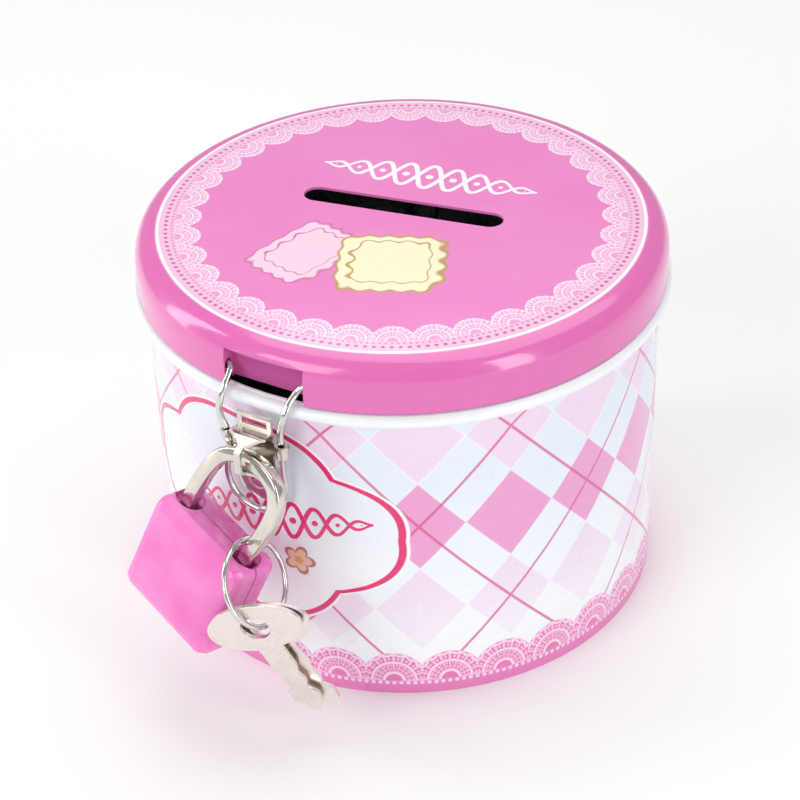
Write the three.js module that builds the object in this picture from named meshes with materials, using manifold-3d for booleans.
// Round tinplate money box with a hinged lid, a wire bail latch, a toy padlock and two keys.
// Millimetres, +Z up. It is built about the tin's axis with the latch towards -X -Y, and
// the last lines turn it so that +X runs along the coin slot.
import * as THREE from 'three';
import { mergeVertices } from 'three/addons/utils/BufferGeometryUtils.js';
import Module from 'manifold-3d';

const wasm = await Module();
wasm.setup();
const { Manifold, Mesh } = wasm;

// ---- driving sizes --------------------------------------------------------------------
const SHEET = 0.45;            // tinplate, body and lid
const GAP = 0.3;               // between pieces that touch
const ROUND = 72;              // steps around the tin
const BODY_R = 42.0;           // outside of the wall
const BODY_FLARE = 0.6;        // the wall widens this much under the rim
const BODY_H = 60.2;           // top of the neck that the lid slips over
const BEAD_R = 1.15;           // rolled rim
const BEAD_OUT = 44.0;         // outside of the rolled rim
const BEAD_Z = 55.1;
const NECK_R = 42.35;          // outside of the neck
const LID_FIT = 0.4;           // neck to skirt
const LID_H = 8.4;             // lid, skirt edge to top
const LID_SHOULDER = 4.1;      // rounding, inwards
const LID_SHOULDER_DROP = 4.5; // rounding, downwards
const SLOT_L = 34;             // coin slot
const SLOT_W = 4.5;
const SLOT_TURN = -20;         // degrees about Z
const SLOT_OFF = 2.9;          // slot centre behind the lid's centre
const FOOT_W = 3.0;            // flat ring that the box stands on
const FOOT_STEP = 1.0;         // the rest of the bottom is raised by this
const BOTTOM_FLANGE = 5.0;
const LATCH_AZ = -120;         // azimuth of the latch, the hinge is opposite
const HINGE_AZ = 60;
const POCKET_HALF = 6.9;       // pocket in the skirt, half width
const POCKET_DEEP = 3.15;      // from the outside of the skirt
const POCKET_TOP = 6.15;       // from the skirt's edge
const WIRE_R = 0.55;           // bail wire
const BAIL_HALF = 6.35;        // half distance between the legs at the pivot
const BAIL_SKEW = -2.1;        // the bail hangs this much off to one side
const LOOP_R = 5.2;            // round loop at the bottom of the bail
const LOOP_Z = 40.0;
const PIN_R = 0.6;             // hinge pin
const KNUCKLE_R = 1.3;
const HINGE_W = 14;
const HINGE_SHEET = 0.45;
const RIVET_R = 0.85;
const RIVET_HEAD = 1.6;
const RIVET_CAP = 0.55;
const KEEPER_R = 3.9;
const SHACKLE_W = 2.4;         // width of the shackle's bar
const SHACKLE_T = 2.2;         // its thickness
const LEG_LEFT = -6.6;         // its two legs, from the crown's middle
const LEG_RIGHT = 7.1;
const SHACKLE_H = 14.6;        // crown to the top of the case
const CASE_W = 19.9;
const CASE_H = 18.6;
const CASE_T = 9.4;
const CASE_ROUND = 1.9;
const CASE_CORNER = 2.1;
const CASE_SHIFT = 0.1;        // case centre to the crown's middle
const SEAM = 0.2;              // gap between the two halves of the case
const PLUG_R = 2.3;
const RING_R = 6.8;            // key ring, to the middle of its wire
const RING_WIRE = 0.45;
const KEY_T = 0.7;
const BOW_A = 7.9;             // half width of a key's bow
const BOW_B = 4.9;
const BLADE_W = 4.0;
const KEY_L = 20;              // middle of the bow to the tip
const KEY_HOLE = 2.35;
const KEY_STEP = 17;           // degrees around the ring between the keys

// ---- derived --------------------------------------------------------------------------
const D = Math.PI / 180;
const BEAD_C = BEAD_OUT - BEAD_R;
const LID_IN = NECK_R + LID_FIT;
const LID_R = LID_IN + SHEET;
const LID_Z0 = BEAD_Z + BEAD_R + GAP;
const LID_Z1 = LID_Z0 + LID_H;
const WALL_IN = BODY_R - SHEET;
const HINGE_R = BEAD_OUT + KNUCKLE_R + 0.6;
const HINGE_Z = LID_Z0 + 0.65;
const PIVOT_R = LID_R - POCKET_DEEP + WIRE_R + 0.9;
const PIVOT_Z = LID_Z0 + 2.9;
const LEG_R = BEAD_OUT + WIRE_R + 0.55;

// ---- helpers --------------------------------------------------------------------------
function solid(geometry) {
  let g = geometry.index ? geometry.clone() : geometry.clone();
  g.deleteAttribute('normal');
  g.deleteAttribute('uv');
  g = mergeVertices(g, 1e-4);
  const pos = new Float32Array(g.attributes.position.array);
  const idx = new Uint32Array(g.index.array);
  const keep = [];
  let volume = 0;
  for (let i = 0; i < idx.length; i += 3) {
    const [a, b, c] = [idx[i], idx[i + 1], idx[i + 2]];
    if (a === b || b === c || c === a) continue;
    keep.push(a, b, c);
    const va = new THREE.Vector3().fromArray(pos, a * 3);
    const vb = new THREE.Vector3().fromArray(pos, b * 3);
    const vc = new THREE.Vector3().fromArray(pos, c * 3);
    volume += va.dot(vb.cross(vc));
  }
  if (volume < 0) {
    for (let i = 0; i < keep.length; i += 3) {
      [keep[i], keep[i + 1]] = [keep[i + 1], keep[i]];
    }
  }
  const triVerts = new Uint32Array(keep);
  return new Manifold(new Mesh({ numProp: 3, vertProperties: pos, triVerts }));
}

function toGeometry(m) {
  const mesh = m.getMesh();
  const g = new THREE.BufferGeometry();
  const n = mesh.numProp;
  const count = mesh.vertProperties.length / n;
  const pos = new Float32Array(count * 3);
  for (let i = 0; i < count; i += 1) {
    for (let k = 0; k < 3; k += 1) pos[3 * i + k] = mesh.vertProperties[n * i + k];
  }
  g.setAttribute('position', new THREE.BufferAttribute(pos, 3));
  g.setIndex(new THREE.BufferAttribute(new Uint32Array(mesh.triVerts), 1));
  g.computeVertexNormals();
  return g;
}

// a closed (radius, height) profile turned about Z
function lathe(points, steps = ROUND) {
  const profile = points.map(([r, z]) => new THREE.Vector2(r, z));
  const g = new THREE.LatheGeometry(profile, steps);
  g.rotateX(Math.PI / 2);
  return solid(g);
}

function ring(points, steps) {
  return lathe([...points, points[0]], steps);
}

function box(x0, x1, y0, y1, z0, z1) {
  const g = new THREE.BoxGeometry(x1 - x0, y1 - y0, z1 - z0);
  g.translate((x0 + x1) / 2, (y0 + y1) / 2, (z0 + z1) / 2);
  return solid(g);
}

// a cylinder along x, y or z that starts at a point
function rod(radius, length, axis, at, steps = 20) {
  const g = new THREE.CylinderGeometry(radius, radius, length, steps);
  if (axis === 'x') g.rotateZ(-Math.PI / 2);
  if (axis === 'z') g.rotateX(Math.PI / 2);
  const step = { x: [1, 0, 0], y: [0, 1, 0], z: [0, 0, 1] }[axis];
  g.translate(...at.map((v, i) => v + step[i] * length / 2));
  return solid(g);
}

// an outline in the plane of x and z, from y = -t/2 to t/2
function plate(shape, t, bevel = 0, curveSegments = 12) {
  const g = new THREE.ExtrudeGeometry(shape, {
    depth: t - 2 * bevel,
    bevelEnabled: bevel > 0,
    bevelThickness: bevel,
    bevelSize: bevel,
    bevelOffset: -bevel,
    bevelSegments: 2,
    curveSegments,
  });
  g.translate(0, 0, -t / 2 + bevel);
  g.rotateX(Math.PI / 2);
  return solid(g);
}

// an outline in the plane of (outwards, up), drawn from x0 to x1 in a frame whose -y is outwards
function band(points, x0, x1) {
  const shape = new THREE.Shape(points.map(([r, z]) => new THREE.Vector2(r, z)));
  const g = new THREE.ExtrudeGeometry(shape, { depth: x1 - x0, bevelEnabled: false });
  g.applyMatrix4(new THREE.Matrix4().set(0, 0, 1, x0, -1, 0, 0, 0, 0, 1, 0, 0, 0, 0, 0, 1));
  return solid(g);
}

// round wire through points
function wire(points, radius, steps, sides = 10) {
  const path = new THREE.CatmullRomCurve3(points.map((p) => new THREE.Vector3(...p)), false,
    'centripetal');
  const shape = new THREE.Shape();
  shape.absarc(0, 0, radius, 0, 2 * Math.PI, false);
  const g = new THREE.ExtrudeGeometry(shape, {
    steps,
    curveSegments: sides,
    bevelEnabled: false,
    extrudePath: path,
  });
  return [solid(g), path];
}

const steel = { roughness: 0.18, metalness: 1.0 };
const root = new THREE.Group();

function add(parent, name, m, color, finish) {
  const material = new THREE.MeshStandardMaterial({ color, ...finish });
  const mesh = new THREE.Mesh(toGeometry(m), material);
  mesh.name = name;
  parent.add(mesh);
  return mesh;
}

// a frame whose +x runs along the wall, -y points outwards and z points up
function wallFrame(azimuth) {
  const g = new THREE.Group();
  g.rotation.z = (azimuth + 90) * D;
  root.add(g);
  return g;
}

function turnZ(m, degrees) {
  return m.rotate([0, 0, degrees]);
}

// ---- rivets: positions are shared by the pieces and their holes --------------------------
const keeperAz = LATCH_AZ + Math.asin(BAIL_SKEW / BODY_R) / D;
const HINGE_RIVET_X = 4.4;
const BODY_RIVET_Z = 46.8;
const LID_RIVET_Z = LID_Z0 + 3.9;
const holeR = RIVET_R + GAP;

function hole(azimuth, x, z, r) {
  return turnZ(rod(r, 8, 'y', [x, -46, z]), azimuth + 90);
}

// ---- body -------------------------------------------------------------------------------
const flareR = BODY_R + BODY_FLARE;
const beadPoints = [];
for (let a = -110; a <= 110; a += 22) {
  beadPoints.push([BEAD_C + BEAD_R * Math.cos(a * D), BEAD_Z + BEAD_R * Math.sin(a * D)]);
}
const wallProfile = [
  [BODY_R, 0],
  [BODY_R, BEAD_Z - 4.3],
  [BODY_R + 0.18, BEAD_Z - 3.0],
  [Math.min(flareR, beadPoints[0][0] + 0.1), BEAD_Z - 1.7],
  ...beadPoints,
  [NECK_R, BEAD_Z + BEAD_R + 0.1],
  [NECK_R, BODY_H - 0.15],
  [NECK_R - 0.15, BODY_H],
  [NECK_R - SHEET, BODY_H],
  [NECK_R - SHEET, BEAD_Z - 1.6],
  [WALL_IN, BEAD_Z - 3.4],
  [WALL_IN, 0],
];
let wall = ring(wallProfile);
const notchHalf = POCKET_HALF + SHEET + 2.0;
const hingeNotchHalf = HINGE_RIVET_X + RIVET_HEAD + 1.0;
for (const [azimuth, x] of [[LATCH_AZ, notchHalf], [HINGE_AZ, hingeNotchHalf]]) {
  const notch = box(-x, x, -46, -38, BEAD_Z + BEAD_R + 0.12, BODY_H + 1);
  wall = wall.subtract(turnZ(notch, azimuth + 90));
}
// lapped side seam, inside the wall below the hinge
const seam = turnZ(box(-2.0, 2.0, -WALL_IN - 0.2, -WALL_IN + 0.45, 6.5, BEAD_Z - 4.6),
  HINGE_AZ + 90 + 24);
wall = wall.add(seam);
for (const x of [-HINGE_RIVET_X, HINGE_RIVET_X]) {
  wall = wall.subtract(hole(HINGE_AZ, x, BODY_RIVET_Z, holeR));
}
wall = wall.subtract(hole(keeperAz, 0, LOOP_Z, holeR));
add(root, 'body_wall', wall, '#dfe3ee', { roughness: 0.32, metalness: 0.0 });

const panR = WALL_IN - GAP;
const bottom = ring([
  [panR, 0],
  [panR, BOTTOM_FLANGE],
  [panR - SHEET, BOTTOM_FLANGE],
  [panR - SHEET, FOOT_STEP + SHEET],
  [panR - SHEET - 0.4, SHEET + 0.15],
  [panR - FOOT_W + 0.6, SHEET + 0.15],
  [panR - FOOT_W, FOOT_STEP + SHEET],
  [0, FOOT_STEP + SHEET],
  [0, FOOT_STEP],
  [panR - FOOT_W - 0.3, FOOT_STEP],
  [panR - FOOT_W, 0],
]);
add(root, 'body_bottom', bottom, '#c9cbd2', { roughness: 0.35, metalness: 0.8 });

// ---- lid ----------------------------------------------------------------------------------
function shoulder(inset) {
  const points = [];
  for (let i = 0; i <= 7; i += 1) {
    const t = (i / 7) * 90 * D;
    const p = 0.86;
    points.push([
      LID_R - inset - LID_SHOULDER + LID_SHOULDER * Math.cos(t) ** p,
      LID_Z1 - inset - LID_SHOULDER_DROP + LID_SHOULDER_DROP * Math.sin(t) ** p,
    ]);
  }
  return points;
}
const lidOutside = [[LID_R, LID_Z0], ...shoulder(0), [0, LID_Z1]];
const lidProfile = [
  ...lidOutside,
  [0, LID_Z1 - SHEET],
  ...shoulder(SHEET).reverse(),
  [LID_IN, LID_Z0],
];
let lid = ring(lidProfile);
const lidFilled = ring([...lidOutside, [0, LID_Z0]]);
const pocketFloor = LID_R - POCKET_DEEP;
const pocketBlock = turnZ(box(-POCKET_HALF - SHEET, POCKET_HALF + SHEET, -LID_R - 2,
  -pocketFloor + SHEET, LID_Z0, LID_Z0 + POCKET_TOP + SHEET), LATCH_AZ + 90);
const pocketVoid = turnZ(box(-POCKET_HALF, POCKET_HALF, -LID_R - 3, -pocketFloor,
  LID_Z0 - 1, LID_Z0 + POCKET_TOP), LATCH_AZ + 90);
lid = lid.add(lidFilled.intersect(pocketBlock)).subtract(pocketVoid);
const pivotHole = rod(WIRE_R + GAP, 2 * POCKET_HALF + 2, 'x',
  [-POCKET_HALF - 1, -PIVOT_R, PIVOT_Z]);
lid = lid.subtract(turnZ(pivotHole, LATCH_AZ + 90));
const slotShape = new THREE.Shape();
const slotEnd = SLOT_L / 2 - SLOT_W / 2;
slotShape.absarc(slotEnd, 0, SLOT_W / 2, -Math.PI / 2, Math.PI / 2, false);
slotShape.absarc(-slotEnd, 0, SLOT_W / 2, Math.PI / 2, 1.5 * Math.PI, false);
const slotGeometry = new THREE.ExtrudeGeometry(slotShape, {
  depth: 6,
  bevelEnabled: false,
  curveSegments: 10,
});
slotGeometry.translate(0, 0, LID_Z1 - 3);
slotGeometry.rotateZ(SLOT_TURN * D);
slotGeometry.translate(0.3, SLOT_OFF, 0);
lid = lid.subtract(solid(slotGeometry));
for (const x of [-HINGE_RIVET_X, HINGE_RIVET_X]) {
  lid = lid.subtract(hole(HINGE_AZ, x, LID_RIVET_Z, holeR));
}
add(root, 'lid_shell', lid, '#e07fc0', { roughness: 0.22, metalness: 0.0 });

// ---- hinge --------------------------------------------------------------------------------
const hinge = wallFrame(HINGE_AZ);
const leafIn = BODY_R + GAP;
const leafOut = leafIn + HINGE_SHEET;
const half = HINGE_W / 2;
const third = HINGE_W / 6 + 0.2;
const around = BEAD_OUT + GAP + 0.15;
const bore = rod(PIN_R + GAP, HINGE_W + 4, 'x', [-half - 2, -HINGE_R, HINGE_Z], 16);
const knuckle = (x0, x1) => rod(KNUCKLE_R, x1 - x0, 'x', [x0, -HINGE_R, HINGE_Z], 20);
let bodyLeaf = band([
  [leafIn, BODY_RIVET_Z - 3],
  [leafOut, BODY_RIVET_Z - 3],
  [leafOut, BEAD_Z - 4.9],
  [around + HINGE_SHEET, BEAD_Z - 2.3],
  [around + HINGE_SHEET, HINGE_Z - 0.2],
  [around, HINGE_Z - 0.2],
  [around, BEAD_Z - 2.1],
  [leafIn, BEAD_Z - 4.7],
], -half, half);
bodyLeaf = bodyLeaf.subtract(box(-third - 0.2, third + 0.2, -60, -40, BEAD_Z - 1.5, 80));
bodyLeaf = bodyLeaf.add(knuckle(-half, -third - 0.2)).add(knuckle(third + 0.2, half));
bodyLeaf = bodyLeaf.subtract(bore);
const lidLeafIn = LID_R + GAP;
let lidLeaf = band([
  [lidLeafIn, HINGE_Z],
  [lidLeafIn + HINGE_SHEET, HINGE_Z],
  [lidLeafIn + HINGE_SHEET, LID_RIVET_Z + 2.0],
  [lidLeafIn, LID_RIVET_Z + 2.0],
], -half, half);
lidLeaf = lidLeaf.subtract(box(-half - 1, -third + 0.2, -60, -40, 40, HINGE_Z + 1.9));
lidLeaf = lidLeaf.subtract(box(third - 0.2, half + 1, -60, -40, 40, HINGE_Z + 1.9));
const web = band([
  [lidLeafIn, HINGE_Z + 0.2],
  [HINGE_R, HINGE_Z + KNUCKLE_R - 0.45],
  [HINGE_R, HINGE_Z + KNUCKLE_R],
  [lidLeafIn, HINGE_Z + 1.9],
], -third + 0.2, third - 0.2);
lidLeaf = lidLeaf.add(knuckle(-third + 0.2, third - 0.2)).add(web).subtract(bore);

// a rivet through the wall: head outside, closed head inside
function rivet(x, z, outFace, inFace) {
  const length = outFace - inFace;
  const shank = rod(RIVET_R, length + 0.4, 'y', [x, -outFace - 0.2, z], 16);
  const head = lathe([[0, 0], [RIVET_HEAD, 0], [RIVET_HEAD, RIVET_CAP * 0.35],
    [RIVET_HEAD * 0.72, RIVET_CAP * 0.85], [0, RIVET_CAP]], 16);
  const outside = head.rotate([90, 0, 0]).translate([x, -outFace, z]);
  const inside = head.rotate([-90, 0, 0]).translate([x, -inFace, z]);
  return shank.add(outside).add(inside);
}
const wallInAt = (r, x) => Math.sqrt(r * r - (Math.abs(x) + RIVET_HEAD) ** 2) - GAP;
for (const x of [-HINGE_RIVET_X, HINGE_RIVET_X]) {
  bodyLeaf = bodyLeaf.subtract(rod(holeR, 8, 'y', [x, -46, BODY_RIVET_Z]));
  lidLeaf = lidLeaf.subtract(rod(holeR, 8, 'y', [x, -46, LID_RIVET_Z]));
}
const nickel = '#b9b6b0';
add(hinge, 'hinge_body_leaf', bodyLeaf, nickel, steel);
add(hinge, 'hinge_lid_leaf', lidLeaf, nickel, steel);
let count = 0;
for (const x of [-HINGE_RIVET_X, HINGE_RIVET_X]) {
  count += 1;
  const low = rivet(x, BODY_RIVET_Z, leafOut + GAP, wallInAt(WALL_IN, x));
  add(hinge, `hinge_body_rivet_${count}`, low, nickel, steel);
  const high = rivet(x, LID_RIVET_Z, lidLeafIn + HINGE_SHEET + GAP, wallInAt(LID_IN, x));
  add(hinge, `hinge_lid_rivet_${count}`, high, nickel, steel);
}
const pin = rod(PIN_R, HINGE_W + 1.2, 'x', [-half - 0.6, -HINGE_R, HINGE_Z], 16);
const pinHeads = [-half - 0.9, half + GAP].map(
  (x) => rod(PIN_R + 0.4, 0.6, 'x', [x, -HINGE_R, HINGE_Z], 16));
add(hinge, 'hinge_pin', pin.add(pinHeads[0]).add(pinHeads[1]), nickel, steel);

// ---- keeper on the wall, inside the bail's loop ---------------------------------------------
const keeper = wallFrame(keeperAz);
const keeperFace = BODY_R + GAP + SHEET;
let foot = lathe([[0, 0], [KEEPER_R - 0.1, 0], [KEEPER_R, 0.12], [KEEPER_R, SHEET - 0.1],
  [KEEPER_R - 0.1, SHEET], [0, SHEET]], 32);
foot = foot.rotate([90, 0, 0]).translate([0, -BODY_R - GAP, LOOP_Z]);
foot = foot.subtract(rod(holeR, 8, 'y', [0, -46, LOOP_Z]));
add(keeper, 'keeper_foot', foot, nickel, steel);
const washerOut = Math.sqrt(WALL_IN ** 2 - 3.0 ** 2) - GAP;
const washerIn = washerOut - SHEET;
add(keeper, 'keeper_rivet', rivet(0, LOOP_Z, keeperFace + GAP, washerIn - GAP), nickel, steel);
const washer = ring([[holeR, 0], [3.0, 0], [3.0, SHEET], [holeR, SHEET]], 24)
  .rotate([90, 0, 0]).translate([0, -washerIn, LOOP_Z]);
add(keeper, 'keeper_washer', washer, '#a9a7a2', steel);

// ---- bail -----------------------------------------------------------------------------------
const latch = wallFrame(LATCH_AZ);
const loopX = BAIL_SKEW;
const loopOut = BODY_R + 0.4 + WIRE_R + 0.5;
const bailPoints = [
  [-BAIL_HALF - 1.35, -PIVOT_R, PIVOT_Z],
  [-BAIL_HALF - 0.45, -PIVOT_R, PIVOT_Z],
  [-BAIL_HALF + 0.15, -PIVOT_R - 0.3, PIVOT_Z - 0.25],
  [-BAIL_HALF + 0.25, -PIVOT_R - 1.0, PIVOT_Z - 1.0],
  [-BAIL_HALF + 0.2, -LEG_R + 0.9, PIVOT_Z - 2.5],
  [-BAIL_HALF - 0.2, -LEG_R, PIVOT_Z - 4.9],
  [-BAIL_HALF - 0.35, -LEG_R, PIVOT_Z - 6.4],
  [-BAIL_HALF - 0.05, -LEG_R, PIVOT_Z - 7.7],
  [-5.75, -LEG_R + 0.1, 50.1],
  [-5.2, -LEG_R + 0.25, 48.4],
  [-5.3, -LEG_R + 0.6, 46.4],
  [loopX - LOOP_R * 0.92, -loopOut - 0.25, LOOP_Z + 2.9],
  [loopX - LOOP_R, -loopOut, LOOP_Z],
  [loopX - LOOP_R * 0.74, -loopOut, LOOP_Z - LOOP_R * 0.68],
  [loopX, -loopOut, LOOP_Z - LOOP_R],
  [loopX + LOOP_R * 0.74, -loopOut, LOOP_Z - LOOP_R * 0.68],
  [loopX + LOOP_R, -loopOut, LOOP_Z],
  [loopX + LOOP_R + 0.1, -loopOut - 0.25, LOOP_Z + 2.9],
  [3.6, -LEG_R + 0.6, 46.4],
  [4.0, -LEG_R + 0.2, 49.2],
  [3.95, -LEG_R + 0.05, 51.4],
  [4.15, -LEG_R, 53.0],
  [5.0, -LEG_R, 55.7],
  [BAIL_HALF - 1.2, -LEG_R + 0.9, PIVOT_Z - 2.4],
  [BAIL_HALF - 0.75, -PIVOT_R - 1.0, PIVOT_Z - 1.0],
  [BAIL_HALF - 0.15, -PIVOT_R - 0.3, PIVOT_Z - 0.25],
  [BAIL_HALF + 0.45, -PIVOT_R, PIVOT_Z],
  [BAIL_HALF + 1.35, -PIVOT_R, PIVOT_Z],
];
const [bail, bailPath] = wire(bailPoints, WIRE_R, 96, 5);
add(latch, 'bail_wire', bail, '#c2c2c4', steel);

// hasp plate: clipped on both legs, with a ledge and a narrow eye in front for the shackle
const CROWN = new THREE.Vector3(0.19, -48.06, 48.53);
const LEAN = -10.6;            // how the padlock hangs: about x, then y, then z
const LIST = 20.8;
const YAW = -13.1;
const EAR_R = WIRE_R + GAP + 0.3;
const EAR_L = 2.4;
const EAR_Z = 49.0;
const eyeX = -0.35;
const room = Math.hypot(SHACKLE_W, SHACKLE_T) / 2 + GAP + 0.1;
const eyeOut = -CROWN.y + room + 0.05;
const plateIn = LEG_R - 0.2;
const plateOut = plateIn + SHEET;
const ledgeZ = 51.9;
const ledgeOut = 47.6;
const eyeTop = CROWN.z + room + 0.1;
const eyeLow = CROWN.z - room + 0.2;
const plateTop = 54.3;
const eyeOuter = [
  [plateIn, ledgeZ],
  [ledgeOut, ledgeZ],
  [eyeOut + SHEET, eyeTop],
  [eyeOut + SHEET, eyeLow + 0.1],
  [eyeOut - 1.6, eyeLow - 1.35],
  [plateOut, eyeLow - 2.4],
  [plateIn, eyeLow - 2.4],
];
const eyeInner = [
  [plateOut, ledgeZ - SHEET],
  [ledgeOut - 0.2, ledgeZ - SHEET],
  [eyeOut, eyeTop - 0.3],
  [eyeOut, eyeLow + 0.35],
  [eyeOut - 1.6, eyeLow - 0.85],
  [plateOut, eyeLow - 1.8],
];
const eyeHalf = 3.0;
const eyeNeck = 0.55;
let eye = band(eyeOuter, eyeX - eyeHalf, eyeX + eyeHalf);
eye = eye.subtract(band(eyeInner, eyeX - eyeHalf - 1, eyeX + eyeHalf + 1));
const taper = new THREE.Shape([
  [-eyeHalf, plateIn - 1],
  [eyeHalf, plateIn - 1],
  [eyeHalf, ledgeOut - 0.5],
  [eyeHalf - 0.8, ledgeOut + 0.05],
  [eyeNeck, eyeOut - 0.9],
  [eyeNeck, eyeOut + 2],
  [-eyeNeck, eyeOut + 2],
  [-eyeNeck, eyeOut - 0.9],
  [-eyeHalf + 0.8, ledgeOut + 0.05],
  [-eyeHalf, ledgeOut - 0.5],
].map(([x, r]) => new THREE.Vector2(eyeX + x, -r)));
const taperSolid = new THREE.ExtrudeGeometry(taper, { depth: 30, bevelEnabled: false });
taperSolid.translate(0, 0, CROWN.z - 15);
eye = eye.intersect(solid(taperSolid));

// the point of the bail's path that is nearest to a height, on one side
function pathAt(side, z) {
  let best = null;
  for (let i = 0; i <= 800; i += 1) {
    const t = side < 0 ? (i / 800) * 0.45 : 1 - (i / 800) * 0.45;
    const p = bailPath.getPointAt(t);
    if (best === null || Math.abs(p.z - z) < Math.abs(best[0].z - z)) {
      best = [p, bailPath.getTangentAt(t)];
    }
  }
  return best;
}
const ears = [-1, 1].map((side) => pathAt(side, EAR_Z));
let hasp = eye;
const strapIn = ears.map(([p]) => p.x);
const strap = box(strapIn[0], strapIn[1], -plateOut, -plateIn, EAR_Z - 1.2, EAR_Z + 1.2);
const back = box(eyeX - eyeHalf, eyeX + eyeHalf - 0.1, -plateOut, -plateIn, eyeLow - 2.4, plateTop);
const window = box(eyeX - 2.2, eyeX + 2.2, -plateOut - 1, -plateIn + 1, ledgeZ + 0.45, 53.6);
hasp = hasp.add(strap).add(back).subtract(window);
for (const [p, tangent] of ears) {
  const turn = new THREE.Quaternion().setFromUnitVectors(new THREE.Vector3(0, 1, 0),
    tangent.clone());
  const outer = new THREE.CylinderGeometry(EAR_R, EAR_R, EAR_L, 16);
  outer.applyQuaternion(turn);
  outer.translate(p.x, p.y, p.z);
  const inner = new THREE.CylinderGeometry(WIRE_R + GAP, WIRE_R + GAP, EAR_L + 6, 16);
  inner.applyQuaternion(turn);
  inner.translate(p.x, p.y, p.z);
  hasp = hasp.add(solid(outer)).subtract(solid(inner));
}
// the ears are open towards the wall
hasp = hasp.subtract(box(-12, 12, -LEG_R + 0.62, -38, 40, 60));
add(latch, 'hasp_plate', hasp, '#9c9a98', steel);

// ---- padlock ----------------------------------------------------------------------------------
// frame: x along the crown, z up along the legs, -y to the front, zero at the crown's middle
const padlock = new THREE.Group();
padlock.position.copy(CROWN);
padlock.rotation.set(LEAN * D, LIST * D, YAW * D, 'XYZ');
latch.add(padlock);

const top = -SHACKLE_H;
const lockX = CASE_SHIFT;
const pivotX = LEG_LEFT;
const pivotZ = top - 2.4;
const catchZ = top - 3.4;
const barPath = new THREE.CatmullRomCurve3([
  [LEG_LEFT, pivotZ - 3],
  [LEG_LEFT, pivotZ],
  [LEG_LEFT, top],
  [LEG_LEFT + 0.3, top + 4.2],
  [LEG_LEFT + 1.0, top + 8.2],
  [LEG_LEFT + 2.3, top + 11.5],
  [LEG_LEFT + 4.5, top + 13.5],
  [0.9, 0],
  [4.0, 0.1],
  [6.4, -0.75],
  [LEG_RIGHT + 0.8, -2.9],
  [LEG_RIGHT + 1.15, -6.0],
  [LEG_RIGHT + 0.8, -9.8],
  [LEG_RIGHT, top],
  [LEG_RIGHT, catchZ],
  [LEG_RIGHT, catchZ - 3],
].map(([x, z]) => new THREE.Vector3(x, 0, z)), false, 'centripetal');
const outerEdge = [];
const innerEdge = [];
const barSteps = 60;
for (let i = 0; i <= barSteps; i += 1) {
  const p = barPath.getPointAt(i / barSteps);
  const t = barPath.getTangentAt(i / barSteps);
  outerEdge.push(new THREE.Vector2(p.x - t.z * SHACKLE_W / 2, p.z + t.x * SHACKLE_W / 2));
  innerEdge.push(new THREE.Vector2(p.x + t.z * SHACKLE_W / 2, p.z - t.x * SHACKLE_W / 2));
}
const barShape = new THREE.Shape([...outerEdge, ...innerEdge.reverse()]);
let shackle = plate(barShape, SHACKLE_T, 0.35, 1);
const left = box(-20, 0, -5, 5, pivotZ, 10);
const right = box(0, 20, -5, 5, catchZ, 10);
shackle = shackle.intersect(left.add(right));
const round = rod(SHACKLE_W / 2, SHACKLE_T, 'y', [pivotX, -SHACKLE_T / 2, pivotZ], 20);
shackle = shackle.add(round);
shackle = shackle.subtract(rod(0.4 + GAP, SHACKLE_T + 2, 'y', [pivotX, -3, pivotZ], 12));
add(padlock, 'shackle', shackle, '#cfc9bd', { roughness: 0.2, metalness: 1.0 });

// case: a rounded block, hollowed for the works, then split at mid thickness
const c2 = CASE_W / 2;
const caseShape = new THREE.Shape();
const cr = CASE_CORNER;
caseShape.moveTo(lockX - c2 + cr, top);
caseShape.lineTo(lockX + c2 - cr, top);
caseShape.absarc(lockX + c2 - cr, top - cr, cr, Math.PI / 2, 0, true);
caseShape.lineTo(lockX + c2, top - CASE_H + cr);
caseShape.absarc(lockX + c2 - cr, top - CASE_H + cr, cr, 0, -Math.PI / 2, true);
caseShape.lineTo(lockX - c2 + cr, top - CASE_H);
caseShape.absarc(lockX - c2 + cr, top - CASE_H + cr, cr, -Math.PI / 2, -Math.PI, true);
caseShape.lineTo(lockX - c2, top - cr);
caseShape.absarc(lockX - c2 + cr, top - cr, cr, Math.PI, Math.PI / 2, true);
const block = plate(caseShape, CASE_T, CASE_ROUND, 4);
const t2 = SHACKLE_T / 2 + GAP;
const w2 = SHACKLE_W / 2 + GAP + 0.05;
const plugZ = top - CASE_H;
const plugTop = plugZ + 6.2;
const boltZ = plugTop + 1.25;
let works = box(pivotX - w2, pivotX + w2 + 0.4, -t2, t2, pivotZ - w2, top + 2);
works = works.add(box(pivotX - w2 - 1.1, pivotX + w2, -t2, t2, top - 1.6, top + 2));
works = works.add(box(LEG_RIGHT - w2 - 0.75, LEG_RIGHT + w2 + 0.05, -t2, t2,
  catchZ - 0.8, top + 2));
for (const x of [LEG_LEFT, LEG_RIGHT - 0.3]) {
  const cup = lathe([[0, 0], [2.5, 0], [2.5, -0.5], [1.9, -0.9], [0, -0.9]], 20);
  works = works.add(cup.translate([x, 0, top]));
}
works = works.add(rod(PLUG_R + GAP, plugTop - plugZ + GAP + 1, 'z', [lockX, 0.0, plugZ - 1], 24));
works = works.add(box(lockX - 3.3, LEG_RIGHT + 0.6, -1.3, 1.3, boltZ - 0.9, boltZ + 0.9));
works = works.add(rod(0.4 + GAP, CASE_T, 'y', [pivotX, -CASE_T / 2, pivotZ], 12)
  .intersect(box(-20, 20, -2.6, 2.6, -60, 0)));
const hollow = block.subtract(works);
const front = hollow.intersect(box(-30, 30, -30, -SEAM / 2, -60, 10));
const rear = hollow.intersect(box(-30, 30, SEAM / 2, 30, -60, 10));
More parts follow.
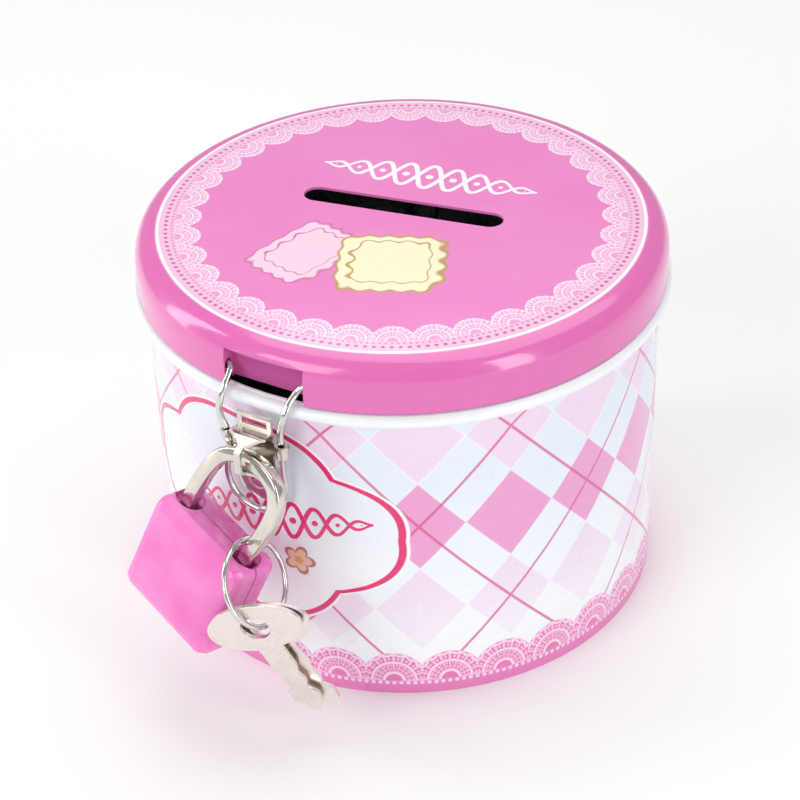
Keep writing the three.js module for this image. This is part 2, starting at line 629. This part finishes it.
const plastic = { roughness: 0.38, metalness: 0.0 };
add(padlock, 'padlock_front', front, '#e878c4', plastic);
add(padlock, 'padlock_rear', rear, '#e0559a', plastic);
const pivotPin = rod(0.4, 4.6, 'y', [pivotX, -2.3, pivotZ], 12);
add(padlock, 'shackle_pin', pivotPin, nickel, steel);
// plug with a keyway and a crank pin that drives the bolt
let plug = rod(PLUG_R, plugTop - plugZ, 'z', [lockX, 0, plugZ], 24);
plug = plug.subtract(box(lockX - 0.55, lockX + 0.55, -1.7, 1.7, plugZ - 1, plugZ + 4.6));
add(padlock, 'lock_plug', plug, '#c9c2b2', steel);
const boltRest = LEG_RIGHT - SHACKLE_W / 2 - 0.45;
const bolt = box(lockX - 1.2, boltRest, -1.0, 1.0, boltZ - 0.6, boltZ + 0.6);
add(padlock, 'lock_bolt', bolt, '#b5ad98', steel);
const springPoints = [];
for (let i = 0; i <= 6; i += 1) {
  springPoints.push([lockX - 3.0 + i * 0.25, 0, boltZ + (i % 2 ? 0.45 : -0.45)]);
}
const [spring] = wire(springPoints, 0.12, 36, 3);
add(padlock, 'bolt_spring', spring, '#b0b0b0', steel);

// ---- key ring and keys ---------------------------------------------------------------------------
// the ring hangs on the right leg, just above the case
const RING_AT = new THREE.Vector3(-23.9, -48.8, 30.0);
const RING_TILT = 46;          // the ring leans out of the vertical by this
const RING_TURN = 51;          // and its right side turns away by this
const down = new THREE.Vector3(0, -Math.sin(RING_TILT * D), -Math.cos(RING_TILT * D));
const away = new THREE.Vector3(0, Math.cos(RING_TILT * D), -Math.sin(RING_TILT * D));
const across = new THREE.Vector3(1, 0, 0).multiplyScalar(Math.cos(RING_TURN * D))
  .add(away.multiplyScalar(Math.sin(RING_TURN * D))).normalize();
const ringCentre = RING_AT;
const basis = new THREE.Matrix4().makeBasis(across, down.clone().negate(),
  across.clone().cross(down.clone().negate()));
basis.setPosition(ringCentre);
const torus = new THREE.TorusGeometry(RING_R, RING_WIRE, 8, 40);
const keyRing = new THREE.Group();
keyRing.applyMatrix4(basis);
root.add(keyRing);
add(keyRing, 'key_ring', solid(torus), '#c9c7c3', steel);

// a flat key: x across the bow, z up, zero at the middle of the hole
const HOLE_OFF = 0.2;
function keySolid() {
  const s = new THREE.Shape();
  const bladeTop = -Math.sqrt(Math.max(0, 1 - (BLADE_W / 2 / BOW_A) ** 2)) * BOW_B + 0.3;
  const lean = 0.3;
  const x0 = -HOLE_OFF + lean;
  const bow = [];
  const start = Math.asin(bladeTop / BOW_B);
  for (let i = 0; i <= 30; i += 1) {
    const a = start + 2 * Math.PI * (i / 30) * 0.985 + 0.05;
    bow.push([-HOLE_OFF + BOW_A * Math.cos(a), BOW_B * Math.sin(a)]);
  }
  const b = BLADE_W / 2;
  const len = KEY_L;
  const blade = [
    [x0 - b, bladeTop + 1.5],
    [x0 - b, -len * 0.45],
    [x0 - b + 0.6, -len * 0.52],
    [x0 - b + 0.2, -len * 0.6],
    [x0 - b + 0.7, -len * 0.68],
    [x0 - b - 0.5, -len * 0.76],
    [x0 - b - 0.4, -len * 0.86],
    [x0 - b + 0.9, -len * 0.92],
    [x0 - 0.4, -len],
    [x0 + 0.9, -len],
    [x0 + b, -len * 0.93],
    [x0 + b + 0.3, -len * 0.82],
    [x0 + b - 0.7, -len * 0.74],
    [x0 + b - 0.2, -len * 0.66],
    [x0 + b - 0.6, -len * 0.56],
    [x0 + b, -len * 0.47],
    [x0 + b, bladeTop + 1.5],
  ];
  const bowShape = new THREE.Shape(bow.map(([x, z]) => new THREE.Vector2(x, z)));
  const bladeShape = new THREE.Shape(blade.map(([x, z]) => new THREE.Vector2(x, z)));
  const key = plate(bowShape, KEY_T).add(plate(bladeShape, KEY_T));
  return key.subtract(rod(KEY_HOLE, 6, 'y', [0, -3, 0], 24));
}
const KEY_DOWN = new THREE.Vector3(0.41, 0.07, -0.91).normalize();
const KEY_SIDE = new THREE.Vector3(0.91, -0.22, 0.36).normalize();
const keyNames = ['key_front', 'key_rear'];
for (let i = 0; i < 2; i += 1) {
  const angle = (-1 + i * KEY_STEP) * D;
  const at = ringCentre.clone()
    .addScaledVector(down, RING_R * Math.cos(angle))
    .addScaledVector(across, RING_R * Math.sin(angle));
  const z = KEY_DOWN.clone().negate();
  const x = KEY_SIDE.clone().addScaledVector(z, -KEY_SIDE.dot(z)).normalize();
  const y = z.clone().cross(x);
  const turned = new THREE.Matrix4().makeBasis(x, y, z);
  turned.multiply(new THREE.Matrix4().makeRotationY(-5 * i * D));
  turned.setPosition(at);
  const holder = new THREE.Group();
  holder.applyMatrix4(turned);
  root.add(holder);
  add(holder, keyNames[i], keySolid(), '#d6cfc6', { roughness: 0.24, metalness: 1.0 });
}

// the frame: +X along the coin slot, origin at the middle of the whole, on the ground
root.rotation.z = -SLOT_TURN * D;
root.updateMatrixWorld(true);
const middle = new THREE.Box3().setFromObject(root, true).getCenter(new THREE.Vector3());
root.position.set(-middle.x, -middle.y, 0);
root.updateMatrixWorld(true);

export default root;
